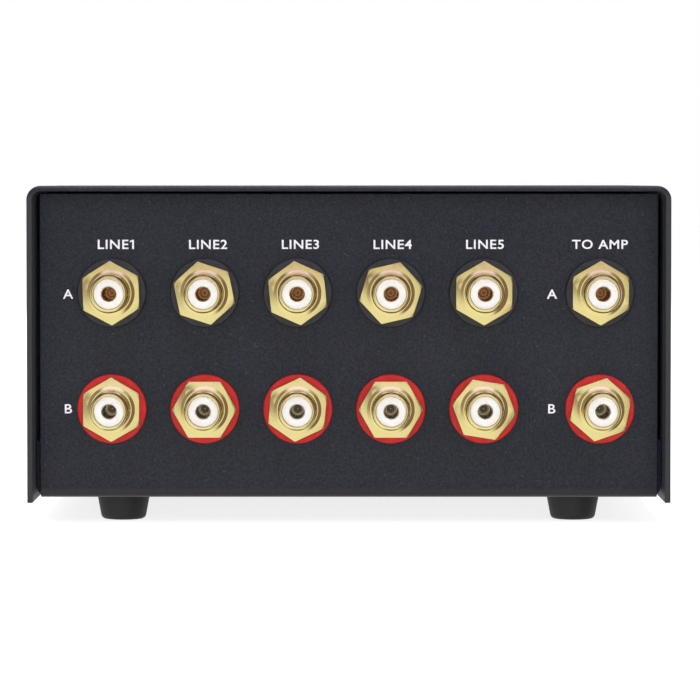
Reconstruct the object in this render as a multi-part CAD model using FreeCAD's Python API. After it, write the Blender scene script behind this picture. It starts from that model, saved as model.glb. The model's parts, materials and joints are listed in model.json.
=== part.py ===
import FreeCAD, Part
import math
import os

V = FreeCAD.Vector

# All sizes are in millimetres. +Z is up, the sockets face +Y and the knob faces -Y.
# The origin lies on the surface that the feet stand on, under the middle of the whole object.

# Case
case_width = 138.0
cover_height = 68.0
cover_length = 115.0
sheet = 1.2
cover_corner = 3.0
tray_bend = 1.2
cover_drop = 0.8
wall_recess = 4.5
wall_side_gap = 1.3
wall_top_gap = 0.5
front_wall_gap = 0.15
lip_height = 12.0
lip_gap = 0.2
corner_relief = 1.3

# Rubber feet
foot_height = 5.6
foot_top_radius = 5.8
foot_bottom_radius = 4.8
foot_edge = 0.8
foot_spread = 98.0
foot_inset = 14.0

# Cover screws
screw_radius = 1.5
screw_head_radius = 2.8
screw_length = 6.0
screw_height = 6.6
screws_per_side = 1
screw_end_distance = 26.0

# Phono sockets
inputs = 5
input_pitch = 20.0
output_gap = 25.0
first_socket_x = 51.0
lower_row_height = 19.2
row_pitch = 25.0
washer_radius = 7.5
washer_thickness = 1.0
hexagon_across = 12.0
hexagon_thickness = 2.8
barrel_radius = 4.15
barrel_length = 8.4
stem_radius = 3.95
stem_flat_count = 12
insulator_radius = 3.3
insulator_recess = 0.3
pin_hole_radius = 1.65
pin_hole_depth = 12.4
nut_across = 11.0
nut_thickness = 2.4
tag_width = 1.6
tag_thickness = 0.5

# How far each hexagon was turned when it was tightened, in degrees, from input 1 to the output
upper_row_turns = [-2.0, -12.0, -6.0, 17.0, 0.0, 0.0]
lower_row_turns = [0.0, 30.0, 5.0, 30.0, -21.0, 11.0]

# Boards and the ribbon cable between them
board_thickness = 1.6
board_margin = 6.0
jack_board_gap = 7.8
switch_board_gap = 3.0
switch_board_width = 34.0
tag_end = 1.2
header_width = 20.0
header_height = 8.6
header_depth = 8.0
header_wall = 1.2
header_drop = 21.0
plug_length = 10.0
ribbon_width = 15.24
ribbon_thickness = 0.9
ribbon_bend = 12.0
ribbon_top = 60.0
ribbon_grip = 5.0

# Rotary switch
positions = 5
step_angle = 30.0
switch_size = 28.0
plate_thickness = 2.0
bushing_radius = 4.5
bushing_reach = 6.2
tab_size = 2.0
tab_offset = 10.0
housing_length = 13.0
housing_wall = 1.6
wafer_thickness = 1.8
shaft_radius = 3.0
shaft_flat = 2.5
star_thickness = 3.0
star_tip_radius = 7.0
star_root_radius = 6.2
carrier_radius = 6.6
carrier_thickness = 7.0
stop_arm_reach = 11.2
stop_arm_width = 2.4
stop_rib_width = 2.0
leaf_thickness = 0.4
leaf_rise = 1.6
leaf_seat = 0.6
contact_size = 1.8
contact_height = 0.6
contact_radius = 9.0
contact_tail = 0.8
track_inner = 3.9
track_outer = 5.3
track_angle = 150.0
wiper_width = 1.6
wiper_thickness = 0.3
wiper_start = 2.4
switch_nut_across = 12.0
switch_nut_thickness = 2.4

# Knob
knob_radius = 15.0
knob_length = 16.0
knob_gap = 1.0
knob_edge = 1.2
knob_cap = 3.0
knob_recess_radius = 8.6
pointer_width = 1.4
pointer_depth = 0.6
pointer_start = 5.0
grub_radius = 1.5
grub_length = 5.0
grub_socket_across = 1.5
grub_socket_depth = 2.0

# Clearances
hole_clearance = 0.1
screw_clearance = 0.05
running_clearance = 0.03
seat_clearance = 0.02
moving_gap = 0.35
slot_clearance = 0.15

# Places that follow from the sizes above
floor_z = foot_height
inner_half_width = case_width / 2 - sheet
wall_half_width = inner_half_width - wall_side_gap
lip_half_width = inner_half_width - lip_gap
outer_bend = tray_bend + sheet
cover_bottom = floor_z - cover_drop
cover_top = cover_bottom + cover_height
wall_top = cover_top - sheet - wall_top_gap
nose = washer_thickness + hexagon_thickness + barrel_length
stem_end = -sheet - nut_thickness
insulator_face = nose - insulator_recess
pin_hole_floor = insulator_face - pin_hole_depth
earth_tag_offset = (insulator_radius + stem_radius) / 2
knob_reach = knob_gap + knob_length
wall_distance = cover_length - 2 * wall_recess
rear_y = (wall_distance + knob_reach - nose) / 2
front_y = rear_y - wall_distance
middle_y = (front_y + rear_y) / 2
columns = [first_socket_x - input_pitch * i for i in range(inputs)]
columns.append(columns[-1] - output_gap)
lower_row_z = floor_z + lower_row_height
upper_row_z = lower_row_z + row_pitch
jack_board_y = rear_y - sheet - jack_board_gap
jack_board_inner_y = jack_board_y - board_thickness
tag_tip_y = jack_board_inner_y - tag_end
jack_header_z = (lower_row_z + upper_row_z) / 2
knob_z = (floor_z + wall_top) / 2
plate_y = front_y + sheet
housing_y = plate_y + plate_thickness
star_y = housing_y + moving_gap
carrier_y = star_y + star_thickness
wafer_y = housing_y + housing_length
contact_face_y = wafer_y - contact_height
switch_board_y = wafer_y + wafer_thickness + switch_board_gap
switch_board_rear_y = switch_board_y + board_thickness
switch_header_z = knob_z - header_drop
knob_back_y = front_y - knob_gap
knob_front_y = front_y - knob_reach
knob_floor_y = front_y - bushing_reach - moving_gap
bore_end_y = knob_front_y + knob_cap
travel = step_angle * (positions - 1) / 2


def box(x0, x1, y0, y1, z0, z1):
    """Block between two opposite corners."""
    return Part.makeBox(x1 - x0, y1 - y0, z1 - z0, V(x0, y0, z0))


def rod(radius, y0, y1, x=0.0, z=0.0):
    """Round bar along Y."""
    return Part.makeCylinder(radius, y1 - y0, V(x, y0, z), V(0, 1, 0))


def polygon_bar(sides, corner, y0, y1, x, z, turn=0.0):
    """Bar along Y with equal sides. With no turn a corner points up; turn tips it towards -X."""
    points = []
    for i in range(sides + 1):
        angle = math.radians(turn + 360 * i / sides)
        points.append(V(x - corner * math.sin(angle), y0, z + corner * math.cos(angle)))
    return Part.Face(Part.makePolygon(points)).extrude(V(0, y1 - y0, 0))


def hexagon(across, y0, y1, x, z, turn=0.0):
    """Hexagonal bar along Y, measured across its flats."""
    return polygon_bar(6, across / math.sqrt(3), y0, y1, x, z, turn)


def rounded_face(corners, place):
    """Flat face through corners (u, v, radius), each one rounded by a tangent arc where it has a radius."""
    edges = []
    ends = []
    for i, (u, v, radius) in enumerate(corners):
        here = V(u, v, 0)
        back = (V(corners[i - 1][0], corners[i - 1][1], 0) - here).normalize()
        ahead = corners[(i + 1) % len(corners)]
        onward = (V(ahead[0], ahead[1], 0) - here).normalize()
        if radius == 0:
            ends.append((here, here, here))
            continue
        half = back.getAngle(onward) / 2
        middle = (back + onward).normalize()
        cut = radius / math.tan(half)
        tip = here + middle * (radius / math.sin(half) - radius)
        ends.append((here + back * cut, tip, here + onward * cut))
    for i, (start, tip, end) in enumerate(ends):
        if start != end:
            edges.append(Part.Arc(place(start), place(tip), place(end)).toShape())
        following = ends[(i + 1) % len(ends)][0]
        edges.append(Part.makeLine(place(end), place(following)))
    return Part.Face(Part.Wire(edges))


def folded(path, thickness, bend, place):
    """Section of a bent strip. The path is one face of it and the strip lies to the left.
    The bend is the inside radius. With no bend the corners are sharp on both faces."""
    near = []
    far = []
    for i, (u, v) in enumerate(path):
        here = V(u, v, 0)
        before = path[i - 1] if i > 0 else None
        after = path[i + 1] if i < len(path) - 1 else None
        arriving = (here - V(before[0], before[1], 0)).normalize() if before else None
        leaving = (V(after[0], after[1], 0) - here).normalize() if after else None
        arriving = arriving or leaving
        leaving = leaving or arriving
        left_in = V(-arriving.y, arriving.x, 0)
        left_out = V(-leaving.y, leaving.x, 0)
        shift = (left_in + left_out) * (thickness / (1 + left_in.dot(left_out)))
        turn = arriving.cross(leaving).z
        outside = bend + thickness if bend else 0
        near_bend = outside if turn > 0 else bend
        far_bend = bend if turn > 0 else outside
        ends_here = before is None or after is None
        near.append((u, v, 0 if ends_here else near_bend))
        far.append((u + shift.x, v + shift.y, 0 if ends_here else far_bend))
    return rounded_face(near + far[::-1], place)


def across_x(x):
    """Places a section drawn in (y, z) at one x."""
    return lambda p: V(x, p.x, p.y)


def across_y(y):
    """Places a section drawn in (x, z) at one y."""
    return lambda p: V(p.x, y, p.y)


def turned(points, x=0.0, z=0.0):
    """Solid turned about an axis along Y, from corners (radius, y)."""
    corners = [V(x + radius, y, z) for radius, y in points]
    return Part.Face(Part.makePolygon(corners + corners[:1])).revolve(V(x, 0, z), V(0, 1, 0), 360)


def about_shaft(shape, angle):
    """Copy turned about the shaft, clockwise as seen from the knob."""
    copy = shape.copy()
    copy.rotate(V(0, 0, knob_z), V(0, 1, 0), angle)
    return copy


def save(name, shape):
    """Writes one node, after a check that it is sound."""
    if not shape.isValid():
        raise ValueError(name + " is not a valid solid")
    shape.exportStep("parts/" + name + ".step")


def cover_screw_places():
    """Middle of each screw on the outside of the cover: x, y, z and the side that it points to."""
    first = front_y + screw_end_distance
    last = rear_y - screw_end_distance
    steps = max(screws_per_side - 1, 1)
    places = []
    for side in (1, -1):
        for i in range(screws_per_side):
            y = first + (last - first) * i / steps if screws_per_side > 1 else middle_y
            places.append((side * case_width / 2, y, floor_z + screw_height, side))
    return places


def top_cover():
    """One sheet, bent twice over the tray, open at both ends and below, with countersunk screw holes."""
    half = case_width / 2
    path = [(half, cover_bottom), (half, cover_top), (-half, cover_top), (-half, cover_bottom)]
    start = front_y - wall_recess
    cover = folded(path, sheet, cover_corner - sheet, across_y(start)).extrude(V(0, cover_length, 0))
    rim = screw_head_radius + hole_clearance
    throat = screw_radius + hole_clearance
    for x, y, z, side in cover_screw_places():
        sink = Part.makeCone(rim, throat, sheet, V(x, y, z), V(-side, 0, 0))
        cover = cover.cut(sink)
    return cover


def front_wall():
    """Front wall above its bend. It fills the cover's opening and has rounded top corners, as the cover has."""
    half = inner_half_width - front_wall_gap
    bottom = floor_z + outer_bend + corner_relief
    top = cover_top - sheet - front_wall_gap
    corner = cover_corner - sheet - front_wall_gap
    corners = [(-half, bottom, 0), (half, bottom, 0), (half, top, corner), (-half, top, corner)]
    return rounded_face(corners, across_y(front_y)).extrude(V(0, sheet, 0))


def chassis_tray():
    """One sheet: floor, front and rear walls bent up from it, and two low lips for the cover screws."""
    walls = [(front_y, wall_top), (front_y, floor_z), (rear_y, floor_z), (rear_y, wall_top)]
    tray = folded(walls, sheet, tray_bend, across_x(-wall_half_width)).extrude(V(2 * wall_half_width, 0, 0))
    lip_bend_x = lip_half_width - outer_bend
    cut_start = front_y + outer_bend
    cut_end = rear_y - outer_bend
    for side in (1, -1):
        low, high = sorted((side * lip_bend_x, side * case_width / 2))
        tray = tray.cut(box(low, high, cut_start, cut_end, floor_z - sheet, floor_z + outer_bend))
    lip_top = floor_z + lip_height
    lips = [
        (-lip_half_width, lip_top),
        (-lip_half_width, floor_z),
        (lip_half_width, floor_z),
        (lip_half_width, lip_top),
    ]
    lip_start = front_y + outer_bend + corner_relief
    lip_length = wall_distance - 2 * (outer_bend + corner_relief)
    side_lips = folded(lips, sheet, tray_bend, across_y(lip_start)).extrude(V(0, lip_length, 0))
    tray = tray.fuse([side_lips, front_wall()]).removeSplitter()
    for x, z in socket_places():
        tray = tray.cut(stem_bar(hole_clearance, -2 * sheet, sheet, x, z))
    tray = tray.cut(rod(bushing_radius + hole_clearance, front_y - sheet, front_y + 2 * sheet, 0, knob_z))
    tray = tray.cut(locating_tab(hole_clearance, front_y - sheet, front_y + 2 * sheet))
    for x, y, z, side in cover_screw_places():
        hole = Part.makeCylinder(screw_radius + screw_clearance, 4 * sheet, V(x, y, z), V(-side, 0, 0))
        tray = tray.cut(hole)
    return tray


def cover_screws():
    """Countersunk screws, flush with the cover, that pass through it into the lips of the tray."""
    screws = []
    for x, y, z, side in cover_screw_places():
        inward = V(-side, 0, 0)
        head = Part.makeCone(screw_head_radius, screw_radius, sheet, V(x, y, z), inward)
        shank = Part.makeCylinder(screw_radius, screw_length - sheet, V(x - side * sheet, y, z), inward)
        screws.append(head.fuse(shank).removeSplitter())
    return Part.Compound(screws)


def rubber_foot(x, y):
    """Tapered rubber foot with an eased lower edge."""
    slope = (foot_top_radius - foot_bottom_radius) / (foot_height - foot_edge)
    eased = foot_bottom_radius - foot_edge - slope * foot_edge
    corners = [
        V(x, y, 0),
        V(x + eased, y, 0),
        V(x + foot_bottom_radius, y, foot_edge),
        V(x + foot_top_radius, y, foot_height),
        V(x, y, foot_height),
    ]
    return Part.Face(Part.makePolygon(corners + corners[:1])).revolve(V(x, y, 0), V(0, 0, 1), 360)


def rubber_feet():
    """Four feet stuck to the underside of the tray, as far from the rear wall as from the front wall."""
    places = []
    for x in (-foot_spread / 2, foot_spread / 2):
        for y in (front_y + foot_inset, rear_y - foot_inset):
            places.append(rubber_foot(x, y))
    return Part.Compound(places)


def stem_bar(clearance, y0, y1, x, z):
    """Threaded stem of a socket, or the hole for it, drawn with flats in place of the thread."""
    return polygon_bar(stem_flat_count, stem_radius + clearance, rear_y + y0, rear_y + y1, x, z)


def centre_tag(x, z, clearance, y0, y1):
    """Flat solder tag of a centre contact."""
    return tag_bar(x, z, clearance, y0, y1)


def earth_tag(x, z, clearance, y0, y1):
    """Flat solder tag of a shell, on the end of its stem above the centre tag."""
    return tag_bar(x, z + earth_tag_offset, clearance, y0, y1)


def tag_bar(x, z, clearance, y0, y1):
    """Flat bar along Y with the section of a solder tag."""
    half_width = tag_width / 2 + clearance
    half_height = tag_thickness / 2 + clearance
    return box(x - half_width, x + half_width, y0, y1, z - half_height, z + half_height)


def socket_shell(x, z, turn):
    """Shell of one phono socket: barrel, hexagon and threaded stem, with its nut and earth tag."""
    hexagon_face = washer_thickness + hexagon_thickness
    barrel = rod(barrel_radius, rear_y + hexagon_face, rear_y + nose, x, z)
    flange = hexagon(hexagon_across, rear_y + washer_thickness, rear_y + hexagon_face, x, z, turn)
    stem = stem_bar(0, -sheet, washer_thickness, x, z)
    nut = hexagon(nut_across, rear_y + stem_end, rear_y - sheet, x, z, -turn)
    tag = earth_tag(x, z, 0, tag_tip_y, rear_y + stem_end)
    body = barrel.fuse([flange, stem, nut, tag]).removeSplitter()
    return body.cut(rod(insulator_radius, rear_y + stem_end, rear_y + nose, x, z))


def socket_row(z, turns):
    """One row of socket shells."""
    return Part.Compound([socket_shell(x, z, turn) for x, turn in zip(columns, turns)])


def socket_places():
    """Middle of every socket: x and z."""
    return [(x, z) for z in (upper_row_z, lower_row_z) for x in columns]


def socket_insulators():
    """White plugs that fill the shells, with a hole for a phono plug's pin and a slot for the centre tag."""
    outer = insulator_radius - seat_clearance
    points = [
        (0, stem_end),
        (outer, stem_end),
        (outer, insulator_face),
        (pin_hole_radius, insulator_face),
        (pin_hole_radius, pin_hole_floor),
        (0, pin_hole_floor),
    ]
    plugs = []
    for x, z in socket_places():
        plug = turned([(radius, rear_y + y) for radius, y in points], x, z)
        slot = centre_tag(x, z, seat_clearance, rear_y + stem_end, rear_y + pin_hole_floor)
        plugs.append(plug.cut(slot))
    return Part.Compound(plugs)


def socket_contacts():
    """Centre contacts, from the floor of each pin hole to the solder side of the board."""
    end = rear_y + pin_hole_floor
    return Part.Compound([centre_tag(x, z, 0, tag_tip_y, end) for x, z in socket_places()])


def washer_row(z):
    """Coloured plastic washers between the hexagons and the rear wall."""
    washers = []
    for x in columns:
        disc = rod(washer_radius, rear_y, rear_y + washer_thickness, x, z)
        washers.append(disc.cut(stem_bar(screw_clearance, 0, washer_thickness, x, z)))
    return Part.Compound(washers)


def jack_board():
    """Circuit board behind the sockets, with a slot for each solder tag."""
    low = lower_row_z - board_margin
    high = upper_row_z + board_margin
    left = columns[-1] - board_margin
    right = columns[0] + board_margin
    board = box(left, right, jack_board_inner_y, jack_board_y, low, high)
    for x, z in socket_places():
        for tag in (centre_tag, earth_tag):
            board = board.cut(tag(x, z, slot_clearance, jack_board_inner_y, jack_board_y))
    return board


def switch_board():
    """Circuit board behind the rotary switch, with a square hole for each of its tails."""
    half = switch_board_width / 2
    low = switch_header_z - board_margin
    high = knob_z + half
    board = box(-half, half, switch_board_y, switch_board_rear_y, low, high)
    hole = contact_tail + 2 * slot_clearance
    for x, z in tail_places():
        board = board.cut(square_bar(x, z, hole, switch_board_y, switch_board_rear_y))
    return board


def board_header(face_y, z, facing):
    """Open box header on a board, facing +Y or -Y."""
    block = along_y(header_width, header_height, face_y, facing * header_depth, z)
    inner_width = header_width - 2 * header_wall
    inner_height = header_height - 2 * header_wall
    floor_y = face_y + facing * header_wall
    return block.cut(along_y(inner_width, inner_height, floor_y, facing * header_depth, z))


def ribbon_plug(face_y, z, facing):
    """Plug on one end of the ribbon cable, pushed to the bottom of its header."""
    width = header_width - 2 * (header_wall + slot_clearance)
    height = header_height - 2 * (header_wall + slot_clearance)
    return along_y(width, height, face_y + facing * header_wall, facing * plug_length, z)


def along_y(width, height, start_y, length, z):
    """Block centred on x = 0 and on z, from start_y along Y by a length that may be negative."""
    low, high = sorted((start_y, start_y + length))
    return box(-width / 2, width / 2, low, high, z - height / 2, z + height / 2)


def ribbon_cable():
    """Flat cable that rises from one plug, bends over and comes down to the other."""
    front = switch_board_rear_y + header_wall + plug_length
    rear = jack_board_inner_y - header_wall - plug_length
    grip = ribbon_grip / 2
    path = [
        (rear, jack_header_z - grip),
        (rear, ribbon_top),
        (front, ribbon_top),
        (front, switch_header_z - grip),
    ]
    section = folded(path, ribbon_thickness, ribbon_bend, across_x(-ribbon_width / 2))
    return section.extrude(V(ribbon_width, 0, 0))


def square_bar(x, z, size, y0, y1):
    """Square bar along Y."""
    return box(x - size / 2, x + size / 2, y0, y1, z - size / 2, z + size / 2)


def locating_tab(clearance, y0, y1):
    """Square tab that keeps the switch from turning in the front wall."""
    return square_bar(0, knob_z + tab_offset, tab_size + 2 * clearance, y0, y1)


def switch_bushing():
    """Die-cast mounting plate, with the threaded bushing that the shaft turns in and the locating tab."""
    plate = along_y(switch_size, switch_size, plate_y, plate_thickness, knob_z)
    bushing = rod(bushing_radius, front_y - bushing_reach, plate_y, 0, knob_z)
    body = plate.fuse([bushing, locating_tab(0, front_y, plate_y)]).removeSplitter()
    bore = rod(shaft_radius + running_clearance, front_y - bushing_reach, housing_y, 0, knob_z)
    return body.cut(bore)


def switch_housing():
    """Square moulded housing with two stop ribs and the two slots that hold the detent leaf."""
    housing = along_y(switch_size, switch_size, housing_y, housing_length, knob_z)
    inside = switch_size - 2 * housing_wall
    housing = housing.cut(along_y(inside, inside, housing_y, housing_length, knob_z))
    reach = star_tip_radius + moving_gap
    chord = stop_arm_width / 2 + stop_rib_width / 2 + moving_gap
    swing = travel + 2 * math.degrees(math.asin(chord / (2 * reach)))
    turn = math.radians(swing)
    rib_end = (switch_size - housing_wall) / 2 / max(math.sin(turn), math.cos(turn))
    rib = box(
        -stop_rib_width / 2,
        stop_rib_width / 2,
        carrier_y,
        carrier_y + carrier_thickness,
        knob_z - rib_end,
        knob_z - reach,
    )
    housing = housing.fuse([about_shaft(rib, swing), about_shaft(rib, -swing)]).removeSplitter()
    slot_span = inside + 2 * (leaf_seat + slot_clearance)
    slot_height = leaf_thickness + 2 * slot_clearance
    slot_z = leaf_line() + leaf_thickness / 2
    slot = along_y(slot_span, slot_height, housing_y, star_thickness + 2 * moving_gap, slot_z)
    return housing.cut(slot)


def leaf_line():
    """Height of the detent leaf's flat stretches."""
    return knob_z + star_tip_radius + moving_gap + leaf_rise


def detent_leaf():
    """Spring leaf with a V-shaped nose just clear of the star wheel's tips."""
    half = switch_size / 2 - housing_wall + leaf_seat
    line = leaf_line()
    nose_z = line - leaf_rise
    path = [(-half, line), (-leaf_rise, line), (0, nose_z), (leaf_rise, line), (half, line)]
    section = folded(path, leaf_thickness, 0, across_y(star_y))
    return section.extrude(V(0, star_thickness, 0))


def d_bar(clearance, y0, y1):
    """The shaft's D section, with its flat facing down."""
    size = shaft_radius + clearance
    flat = knob_z - shaft_flat - clearance
    bar = rod(size, y0, y1, 0, knob_z)
    return bar.cut(box(-size, size, y0, y1, knob_z - 2 * size, flat))


def selector_shaft():
    """Steel shaft: a D section in the knob and in the rotor, round where it turns in the bushing."""
    start = bore_end_y + seat_clearance
    end = carrier_y + carrier_thickness
    front = d_bar(0, start, front_y - bushing_reach - moving_gap)
    middle = rod(shaft_radius, front_y - bushing_reach - moving_gap, housing_y, 0, knob_z)
    return front.fuse([middle, d_bar(0, housing_y, end)]).removeSplitter()


def detent_star():
    """Star wheel with one notch for each step of a full turn; a notch is under the leaf's nose at rest."""
    tips = round(360 / step_angle)
    points = []
    for i in range(2 * tips + 1):
        radius = star_root_radius if i % 2 == 0 else star_tip_radius
        angle = math.pi * i / tips
        points.append(V(radius * math.sin(angle), star_y, knob_z + radius * math.cos(angle)))
    star = Part.Face(Part.makePolygon(points)).extrude(V(0, star_thickness, 0))
    return star.cut(d_bar(seat_clearance, star_y, carrier_y))


def wiper_carrier():
    """Moulded rotor that carries the wipers, with the arm that meets the stop ribs."""
    end = carrier_y + carrier_thickness
    carrier = rod(carrier_radius, carrier_y, end, 0, knob_z)
    half = stop_arm_width / 2
    arm = box(-half, half, carrier_y, end, knob_z - stop_arm_reach, knob_z - shaft_radius)
    carrier = carrier.fuse(arm).removeSplitter()
    return carrier.cut(d_bar(seat_clearance, carrier_y, end))


def wipers():
    """Two spring wipers, one for each channel, each from its common track to its input contacts."""
    seat = carrier_y + carrier_thickness + wiper_thickness
    tip = contact_face_y - moving_gap
    inner = (track_inner + track_outer) / 2
    slope = tip - seat
    path = [(seat, wiper_start), (seat, inner - slope), (tip, inner), (seat, inner + slope)]
    path += [(seat, contact_radius - slope), (tip, contact_radius), (tip, contact_radius + contact_size / 2)]
    raised = [(y, knob_z + height) for y, height in path]
    section = folded(raised, wiper_thickness, 0, across_x(-wiper_width / 2))
    upper = section.extrude(V(wiper_width, 0, 0))
    return Part.Compound([upper, about_shaft(upper, 180)])


def contact_places():
    """Input contacts, one for each position and channel: x, z and the angle about the shaft."""
    places = []
    for channel in (0, 180):
        for i in range(positions):
            angle = channel + step_angle * i - travel
            turn = math.radians(angle)
            places.append((contact_radius * math.sin(turn), knob_z + contact_radius * math.cos(turn), angle))
    return places


def track_tails():
    """The tail of each common track, on its middle."""
    middle = (track_inner + track_outer) / 2
    return [(0, knob_z + middle), (0, knob_z - middle)]


def tail_places():
    """Every tail that passes through the wafer and the board behind it."""
    return [(x, z) for x, z, angle in contact_places()] + track_tails()


def input_contacts():
    """Plated contacts on the wafer, each with a tail through it and through the board."""
    end = switch_board_rear_y + tag_end
    contacts = []
    for x, z, angle in contact_places():
        pad = square_bar(x, z, contact_size, contact_face_y, wafer_y)
        contacts.append(pad.fuse(square_bar(x, z, contact_tail, wafer_y, end)))
    return Part.Compound(contacts)


def common_tracks():
    """Two curved tracks, one for each channel, that the wipers' inner ends slide on."""
    end = switch_board_rear_y + tag_end
    tracks = []
    for turn, (x, z) in zip((0, 180), track_tails()):
        ring = Part.makeCylinder(track_outer, contact_height, V(0, 0, 0), V(0, 0, 1), track_angle)
        ring = ring.cut(Part.makeCylinder(track_inner, contact_height))
        ring.rotate(V(0, 0, 0), V(0, 0, 1), 90 - track_angle / 2)
        ring.rotate(V(0, 0, 0), V(1, 0, 0), 90)
        ring.translate(V(0, wafer_y, knob_z))
        tracks.append(about_shaft(ring, turn).fuse(square_bar(x, z, contact_tail, wafer_y, end)))
    return Part.Compound(tracks)


def switch_wafer():
    """Moulded wafer that closes the housing and holds the contacts and tracks."""
    wafer = along_y(switch_size, switch_size, wafer_y, wafer_thickness, knob_z)
    for x, z in tail_places():
        hole = square_bar(x, z, contact_tail + 2 * seat_clearance, wafer_y, wafer_y + wafer_thickness)
        wafer = wafer.cut(hole)
    return wafer


def switch_nut():
    """Hexagonal nut that clamps the switch to the front wall."""
    start = front_y - switch_nut_thickness
    nut = hexagon(switch_nut_across, start, front_y, 0, knob_z)
    return nut.cut(rod(bushing_radius + screw_clearance, start, front_y, 0, knob_z))


def grub_y():
    """Middle of the grub screw, half way along the knob's grip on the shaft."""
    return (knob_floor_y + bore_end_y) / 2


def pointer_bar(depth, clearance):
    """Bar along the knob's face for the pointer groove or its inlay."""
    half = pointer_width / 2 - clearance
    start = knob_z + pointer_start + clearance
    return box(-half, half, knob_front_y, knob_front_y + depth, start, knob_z + knob_radius - knob_edge)


def knob():
    """Turned aluminium knob: chamfered front edge, recess round the nut, D bore and pointer groove."""
    points = [
        (0, knob_front_y),
        (knob_radius - knob_edge, knob_front_y),
        (knob_radius, knob_front_y + knob_edge),
        (knob_radius, knob_back_y),
        (knob_recess_radius, knob_back_y),
        (knob_recess_radius, knob_floor_y),
        (0, knob_floor_y),
    ]
    body = turned(points, 0, knob_z)
    body = body.cut(d_bar(seat_clearance, bore_end_y, knob_floor_y))
    body = body.cut(pointer_bar(pointer_depth, 0))
    start = V(0, grub_y(), knob_z - knob_radius)
    tapped = Part.makeCylinder(grub_radius + seat_clearance, knob_radius - shaft_flat, start, V(0, 0, 1))
    return body.cut(tapped)


def pointer_inlay():
    """Enamel line in the pointer groove."""
    return pointer_bar(pointer_depth - seat_clearance, seat_clearance).translated(V(0, seat_clearance, 0))


def grub_screw():
    """Grub screw that presses on the shaft's flat, with a hexagon socket."""
    tip = knob_z - shaft_flat - seat_clearance
    screw = Part.makeCylinder(grub_radius, grub_length, V(0, grub_y(), tip - grub_length), V(0, 0, 1))
    corner = grub_socket_across / math.sqrt(3)
    points = []
    for i in range(7):
        angle = math.radians(60 * i)
        points.append(V(corner * math.cos(angle), grub_y() + corner * math.sin(angle), tip - grub_length))
    return screw.cut(Part.Face(Part.makePolygon(points)).extrude(V(0, 0, grub_socket_depth)))


os.makedirs("parts", exist_ok=True)
save("chassis_tray", chassis_tray())
save("top_cover", top_cover())
save("cover_screws", cover_screws())
save("rubber_feet", rubber_feet())
save("left_channel_sockets", socket_row(upper_row_z, upper_row_turns))
save("right_channel_sockets", socket_row(lower_row_z, lower_row_turns))
save("socket_insulators", socket_insulators())
save("socket_contacts", socket_contacts())
save("black_washers", washer_row(upper_row_z))
save("red_washers", washer_row(lower_row_z))
save("jack_board", jack_board())
save("jack_board_header", board_header(jack_board_inner_y, jack_header_z, -1))
save("rear_ribbon_plug", ribbon_plug(jack_board_inner_y, jack_header_z, -1))
save("ribbon_cable", ribbon_cable())
save("front_ribbon_plug", ribbon_plug(switch_board_rear_y, switch_header_z, 1))
save("switch_board_header", board_header(switch_board_rear_y, switch_header_z, 1))
save("switch_board", switch_board())
save("switch_bushing", switch_bushing())
save("switch_housing", switch_housing())
save("switch_wafer", switch_wafer())
save("input_contacts", input_contacts())
save("common_tracks", common_tracks())
save("detent_leaf", detent_leaf())
save("switch_nut", switch_nut())
save("selector_shaft", selector_shaft())
save("detent_star", detent_star())
save("wiper_carrier", wiper_carrier())
save("wipers", wipers())
save("knob", knob())
save("pointer_inlay", pointer_inlay())
save("grub_screw", grub_screw())
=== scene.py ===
import bmesh
import bpy
import json
import math
from mathutils import Matrix, Vector


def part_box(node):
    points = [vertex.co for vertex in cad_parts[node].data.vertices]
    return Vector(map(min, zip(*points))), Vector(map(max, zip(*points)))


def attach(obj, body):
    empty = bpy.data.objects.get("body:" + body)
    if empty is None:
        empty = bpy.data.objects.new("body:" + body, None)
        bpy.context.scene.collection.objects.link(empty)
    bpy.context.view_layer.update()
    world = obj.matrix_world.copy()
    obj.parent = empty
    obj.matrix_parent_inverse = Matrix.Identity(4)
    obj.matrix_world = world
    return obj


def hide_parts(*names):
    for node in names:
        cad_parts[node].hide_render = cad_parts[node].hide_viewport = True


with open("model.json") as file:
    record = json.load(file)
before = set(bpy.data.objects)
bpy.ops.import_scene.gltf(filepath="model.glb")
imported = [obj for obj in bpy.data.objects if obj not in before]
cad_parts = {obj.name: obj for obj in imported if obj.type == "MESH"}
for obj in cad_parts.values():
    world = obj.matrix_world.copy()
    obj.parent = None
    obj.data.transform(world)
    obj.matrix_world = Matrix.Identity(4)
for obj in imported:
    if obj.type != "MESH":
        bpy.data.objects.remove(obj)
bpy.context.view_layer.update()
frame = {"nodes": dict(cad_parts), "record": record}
mm = 0.001
root = "root"
selector = "selector"


# Camera, behind the box and a little above it, at the photograph's viewing angle.
# It has a long lens, far back, so the two rows of sockets are seen almost square on.
image_width = 700
focal_length_in_pixels = 4092
camera_distance = 880 * mm
camera_height = 74.0 * mm
camera_side_step = -0.24 * mm
camera_pitch = math.radians(2.377)
scene = bpy.context.scene
rear_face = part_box("chassis_tray")[1].y
front_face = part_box("chassis_tray")[0].y


def add_object(name, data):
    """Puts an object in the scene."""
    thing = bpy.data.objects.new(name, data)
    scene.collection.objects.link(thing)
    return thing


camera = add_object("camera", bpy.data.cameras.new("camera"))
camera.data.lens = focal_length_in_pixels / image_width * camera.data.sensor_width
camera.location = (camera_side_step, rear_face + camera_distance, camera_height)
camera.rotation_euler = (math.pi / 2 - camera_pitch, 0, math.pi)
scene.camera = camera
scene.view_settings.view_transform = "Standard"


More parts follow.
